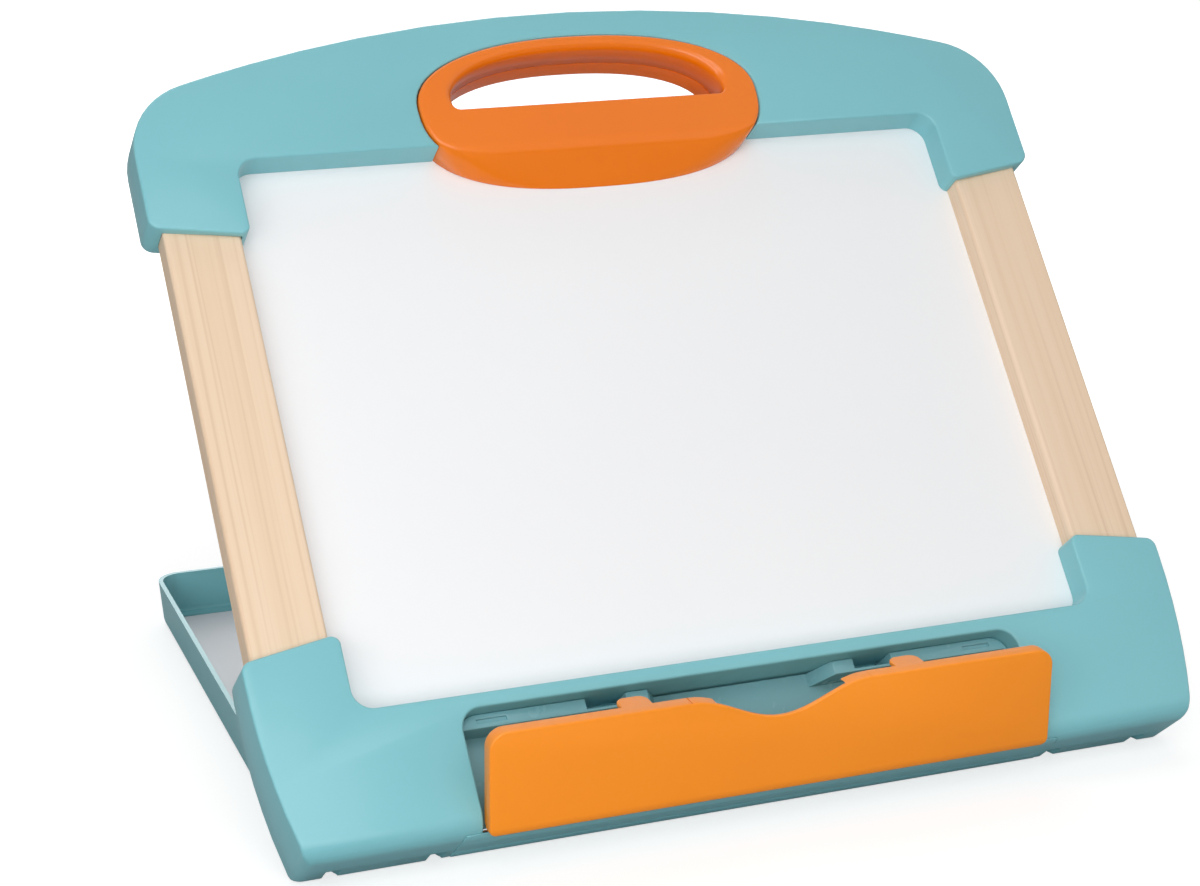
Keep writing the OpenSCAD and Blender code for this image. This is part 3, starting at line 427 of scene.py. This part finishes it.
def build_handle():
    outer_loop = [handle_edge(i) for i in range(AROUND)]
    grip_loop = [grip_edge(i) for i in range(AROUND)]
    rings = [[(x, v, SHEET_N) for x, v in moved_out(outer_loop, [-UNDERCUT] * AROUND)],
             [(x, v, min(SHEET_N + UNDERCUT, face_level(v) - 0.2)) for x, v in outer_loop]]
    chin = [ease((CHIN_START_V - v) / CHIN_BLEND) for x, v in outer_loop]
    edge = [EDGE_R + CHIN_EDGE_R * c for c in chin]
    drop = [min(EDGE_R + CHIN_DROP * c, (face_level(v) - SHEET_N) * (EDGE_SHARE + CHIN_SHARE * c))
            for c, (x, v) in zip(chin, outer_loop)]
    for step in range(EDGE_STEPS + 1):
        a = math.pi / 2 * step / EDGE_STEPS
        loop = moved_out(outer_loop, [-r * (1 - math.cos(a)) for r in edge])
        rings.append([(x, v, face_level(v) - drop[k] * (1 - math.sin(a))) for k, (x, v) in enumerate(loop)])
    face_start = moved_out(outer_loop, [-r for r in edge])
    roll = [ROLL_R + ARCH_ROLL_R * min(1.0, max(0.0, (v - GRIP_V) / ROLL_RISE)) for x, v in grip_loop]
    face_end = moved_out(grip_loop, roll)
    for step in range(1, FACE_STEPS):
        t = step / FACE_STEPS
        rings.append([(p[0] + (q[0] - p[0]) * t, p[1] + (q[1] - p[1]) * t,
                       face_level(p[1] + (q[1] - p[1]) * t)) for p, q in zip(face_start, face_end)])
    for step in range(ROLL_STEPS + 1):
        a = math.pi / 2 * step / ROLL_STEPS
        loop = moved_out(grip_loop, [r * (1 - math.sin(a)) for r in roll])
        rings.append([(x, v, FACE_N - roll[k] * (1 - math.cos(a))) for k, (x, v) in enumerate(loop)])
    rings.append([(x, v, SHEET_N + 0.3) for x, v in grip_loop])
    rings.append([(x, v, SHEET_N) for x, v in moved_out(grip_loop, [0.3] * AROUND)])
    mesh = lofted("handle_front_finished", rings)
    add_piece("handle_front_finished", mesh, body_name("handle_front"), "orange_handle", ("handle_front",))


build_handle()

# Moulded edges, each with its rounding in millimetres
refine("top_cap_front", 1.1, outer(-8.0, 9.0))
refine("base_front", 1.0, outer(-8.0, 9.0))
refine("base_rear", 0.8, outer(-60.0, -15.0))
refine("top_cap_rear", 1.0, outer(-30.0, -16.0))
refine("handle_rear", 1.0, outer(-30.0, -16.0))
refine("front_flap", 0.6, outer(-60.0, 60.0))
refine("pocket_liner", 0.4, outer(-15.0, 9.0))

# Floor and light
FLOOR_REACH, FLOOR_Z = 6.0, -0.0004
AMBIENT = 0.3


def build_floor():
    """A pale floor that keeps a faint shadow, and is white to the camera farther out."""
    reach, low = FLOOR_REACH, FLOOR_Z
    mesh = bpy.data.meshes.new("floor")
    mesh.from_pydata([(-reach, -reach, low), (reach, -reach, low), (reach, reach, low), (-reach, reach, low)],
                     [], [(0, 1, 2, 3)])
    floor = bpy.data.objects.new("floor", mesh)
    bpy.context.scene.collection.objects.link(floor)
    look = Shader("floor_paper")
    look.set(Base_Color=(0.45, 0.45, 0.45, 1.0), Roughness=0.9, Emission_Color=(1.0, 1.0, 1.0, 1.0))
    look.bsdf.inputs["Specular IOR Level"].default_value = 0.0
    sight = look.tree.nodes.new("ShaderNodeLightPath")
    away = look.tree.nodes.new("ShaderNodeVectorMath")
    away.operation = "LENGTH"
    look.link(look.place, away.inputs[0])
    glow = look.tree.nodes.new("ShaderNodeMapRange")
    glow.interpolation_type = "SMOOTHSTEP"
    for field, value in (("From Min", 0.25), ("From Max", 0.75), ("To Min", 0.68), ("To Max", 1.0)):
        glow.inputs[field].default_value = value
    look.link(away.outputs["Value"], glow.inputs["Value"])
    seen_glow = look.tree.nodes.new("ShaderNodeMath")
    seen_glow.operation = "MULTIPLY"
    look.link(glow.outputs["Result"], seen_glow.inputs[0])
    look.link(sight.outputs["Is Camera Ray"], seen_glow.inputs[1])
    look.link(seen_glow.outputs["Value"], look.bsdf.inputs["Emission Strength"])
    mesh.materials.append(look.material)


def build_world():
    """Soft light from all round, with a white background for the camera and in reflections."""
    world = bpy.data.worlds.new("studio")
    bpy.context.scene.world = world
    world.use_nodes = True
    tree = world.node_tree
    tree.nodes.clear()
    out = tree.nodes.new("ShaderNodeOutputWorld")
    mix = tree.nodes.new("ShaderNodeMixShader")
    path = tree.nodes.new("ShaderNodeLightPath")
    clear = path.outputs["Is Camera Ray"]
    for ray in ("Is Glossy Ray", "Is Transmission Ray"):
        either = tree.nodes.new("ShaderNodeMath")
        either.operation = "MAXIMUM"
        tree.links.new(clear, either.inputs[0])
        tree.links.new(path.outputs[ray], either.inputs[1])
        clear = either.outputs["Value"]
    tree.links.new(clear, mix.inputs["Fac"])
    for socket, strength in ((mix.inputs[1], AMBIENT), (mix.inputs[2], 1.0)):
        background = tree.nodes.new("ShaderNodeBackground")
        background.inputs["Color"].default_value = (1.0, 1.0, 1.0, 1.0)
        background.inputs["Strength"].default_value = strength
        tree.links.new(background.outputs["Background"], socket)
    tree.links.new(mix.outputs["Shader"], out.inputs["Surface"])


def softbox(name, place, size, power, target=(0.0, 0.0, 0.1)):
    """A rectangular lamp at a place, turned to its target; metres and watts."""
    light = bpy.data.lights.new(name, "AREA")
    light.shape = "RECTANGLE"
    light.size, light.size_y = size
    light.energy = power
    obj = bpy.data.objects.new(name, light)
    bpy.context.scene.collection.objects.link(obj)
    obj.location = place
    way = Vector(target) - Vector(place)
    obj.rotation_euler = way.to_track_quat("-Z", "Y").to_euler()


build_floor()
build_world()
softbox("key_light", (-0.35, -1.2, 1.3), (1.1, 1.0), 8.5)
softbox("front_light", (-0.4, -1.3, 0.4), (1.2, 0.6), 6.2, (0.0, -0.12, 0.04))
softbox("near_light", (-0.9, -0.7, 0.45), (0.5, 0.5), 2.2, (-0.05, -0.1, 0.08))
softbox("fill_light", (1.3, -1.3, 0.9), (1.4, 1.0), 0.8)
softbox("top_light", (0.1, 0.9, 1.6), (1.4, 1.2), 6.0)
softbox("back_light", (0.3, 1.5, 0.7), (1.4, 0.9), 8.0)

bpy.context.scene.view_settings.view_transform = "Standard"
